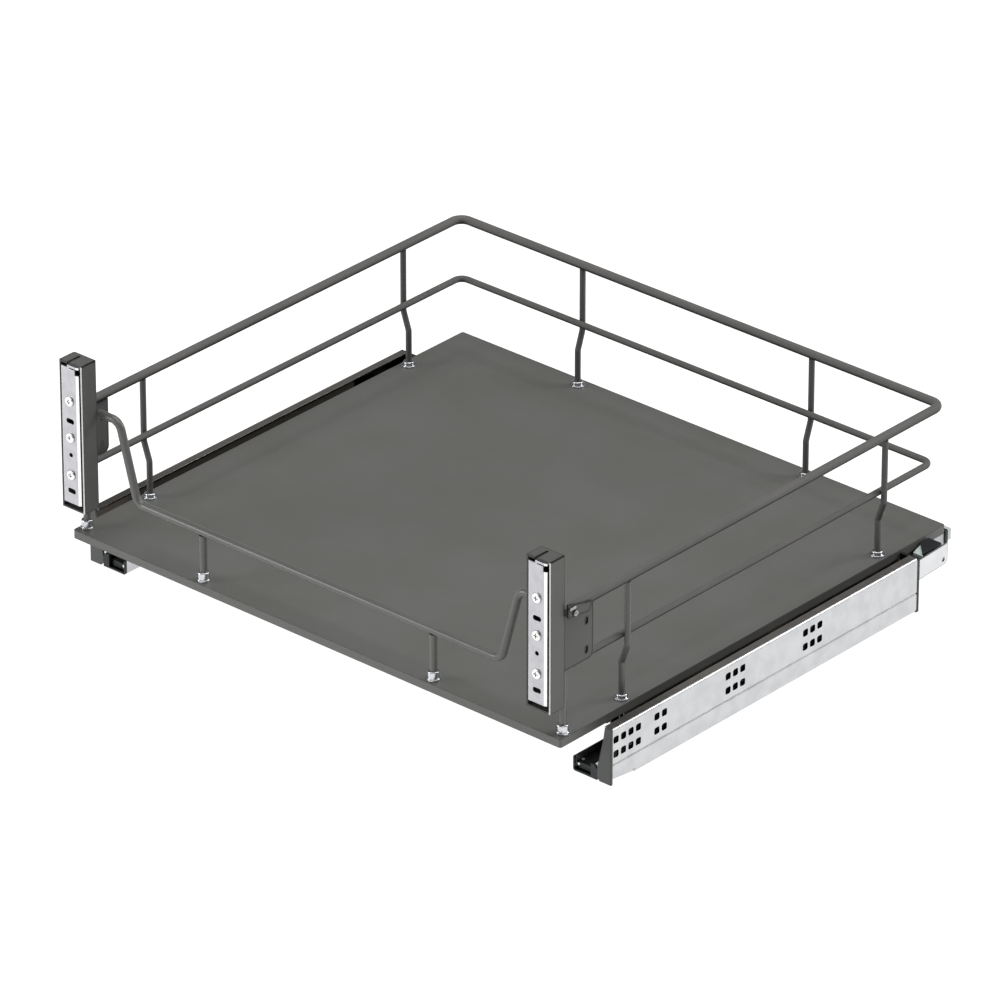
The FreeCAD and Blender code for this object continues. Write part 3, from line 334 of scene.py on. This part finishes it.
# Cabinet profiles: the outer member of each runner, roll formed from steel sheet, with
# clusters of square holes for the screws into the cabinet's side.
spangle_mm = 14.0
sheet_bend_mm = 0.5
track_wall = (0.25, 0.26)
lip_above = (0.048, 0.049)
lip_front = (-0.08, -0.17)
holes_above = (0.0205, 0.021)
holes_below = (0.0475, 0.047)
hole_outer_end = (0.28395, 0.28385)
hole_inner_end = (0.278, 0.279)
# Zinc coated steel, roll formed: bright silver in clouds of 14 mm. Painted shade: what faces the track is
# drawn dark brown, the lip's top darker and its front part darker still, the floor below near black, the holes' walls
# black.
cabinet_zinc = plated_metal("zinc_coated_steel_roll_formed", "cacbcc", "bebfc1", 0.36, spangle_mm, sheet_bend_mm)
# Painted shade: faces turned to the track, beyond its wall, are drawn dark brown.
for side in (-1, 1):
    inward = turned_to(cabinet_zinc, (-side, 0.0, 0.0), 0.88, 0.92)
    lay_over(cabinet_zinc, "3a3733", inward, lies_at(cabinet_zinc, "X", *(side * place for place in track_wall)))
# Painted shade: the lip's top is drawn darker, and its front part darker still.
top_side = turned_to(cabinet_zinc, upwards, 0.8, 0.95)
lip = (top_side, lies_at(cabinet_zinc, "Z", *lip_above))
lay_over(cabinet_zinc, "a6a3a0", *lip)
lay_over(cabinet_zinc, "7a7774", *lip, lies_at(cabinet_zinc, "Y", *lip_front))
# Painted shade: upward faces below the lip, the channel's floor, are drawn near black.
under_lip = lies_at(cabinet_zinc, "Z", *holes_below)
lay_over(cabinet_zinc, "181716", top_side, under_lip)
# Painted shade: the walls of the holes, inside the flange, are drawn black.
hole_rows = lies_at(cabinet_zinc, "Z", *holes_above)
for side in (-1, 1):
    ends = [[side * place for place in end] for end in (hole_outer_end, hole_inner_end)]
    depth = [lies_at(cabinet_zinc, "X", *end) for end in ends]
    lay_over(cabinet_zinc, "0c0c0c", *depth, hole_rows, under_lip)
dress(cabinet_zinc, "cabinet_profile")

# Intermediate and drawer profiles: the two inner members of each runner, roll formed.
# The drawer profile carries the board and the intermediate one runs between the others.
shaded_front_part = (0.232, 0.222)
# Zinc coated steel: satin grey, with painted shade: its whole length but the rear end
# is drawn dark brown.
inner_zinc = plated_metal("zinc_coated_steel_front_shaded", "b6b7b9", "aaabae", 0.4, spangle_mm, sheet_bend_mm)
# Painted shade: the part in front of the rear end is drawn dark brown.
lay_over(inner_zinc, "57534c", lies_at(inner_zinc, "Y", *shaded_front_part))
dress(inner_zinc, "drawer_profile", "mid_profile")

# Rear bracket: a bent sheet tail behind the right runner that holds the soft-close unit.
# Zinc coated steel, bent: brighter than the runner, with a grey line drawn along its edges as painted shade.
tail_zinc = plated_metal("zinc_coated_steel_bent", "d8d9da", "cecfd0", 0.36, spangle_mm, sheet_bend_mm, hollow_shade_mm=0.01)
line_edges(tail_zinc, "4a4a4b", 1.2)
dress(tail_zinc, "rear_bracket")

# Front end plates: a slanted plate of steel sheet closes the front of each cabinet profile,
# to which it is welded, and guards the track.
# Stoving paint on steel, dipped: flat mid-grey with a dark outline drawn along its edges as painted shade.
look = ("525452", "4c4e4c", 0.4, sheet_grain_mm, coat_relief_mm, sheet_bend_mm, 0.3)
end_paint = textured_skin("stoving_paint_dipped", *look)
line_edges(end_paint, "1c1c1c", 1.2)
dress(end_paint, "front_end_plate")

# Dark mouldings: end caps, hooks, noses and ball cages are pushed or clipped into the
# runner members, and the soft-close housing is clipped to the rear bracket.
moulded_grain_mm = 0.6
moulded_relief_mm = 0.03
moulded_edge_mm = 0.5
moulded = (moulded_grain_mm, moulded_relief_mm, moulded_edge_mm)
# ABS, moulded: near black with a cold tint and a soft gleam along the edges.
black_abs = textured_skin("abs_moulded", "12171b", "0c1013", 0.5, *moulded)
dress(black_abs, "rear_end_cap", "front_cap", "soft_close_housing", "rear_hook")
dress(black_abs, "mid_nose", "lower_cage", "upper_cage")

# Flange liners: a soft strip is glued behind the upper hole row of each cabinet profile.
# Polyethylene, extruded: drawn dead black as painted shade in the holes, and grey-brown on the inward side, lighter, as
# painted light.
liner_face = (0.2, 0.25)
liner_strip = textured_skin("polyethylene_painted_shade", "060606", "040404", 0.9, *moulded, shine=0.1)
# Painted light: the inward side is drawn grey-brown, lighter than the black strip.
for side in (-1, 1):
    inward = turned_to(liner_strip, (-side, 0.0, 0.0), 0.71, 0.89)
    lay_over(liner_strip, "5c5750", inward, lies_at(liner_strip, "X", *(side * place for place in liner_face)))
dress(liner_strip, "flange_liner")

# Nose rivets: small steel rivets hold each nose in its intermediate profile.
# Painted highlight: the steel rivets are drawn clean white with a soft gleam, for their bright glints.
rivet_edge_mm = 0.3
rivet_grain = (moulded_grain_mm, moulded_relief_mm, rivet_edge_mm)
rivet_highlight_white = textured_skin("white_painted_highlight", "fcfcfa", "f6f6f4", 0.3, *rivet_grain)
dress(rivet_highlight_white, "nose_rivets")

# Buffers and wedge: pale soft pieces pressed onto the hooks and into the rear bracket.
# Acetal, moulded: pale blue-grey, waxy, with blunt gleams.
pale_acetal = textured_skin("acetal_moulded", "c3cbcb", "b9c2c2", 0.45, *moulded)
dress(pale_acetal, "rear_buffer", "rear_wedge")
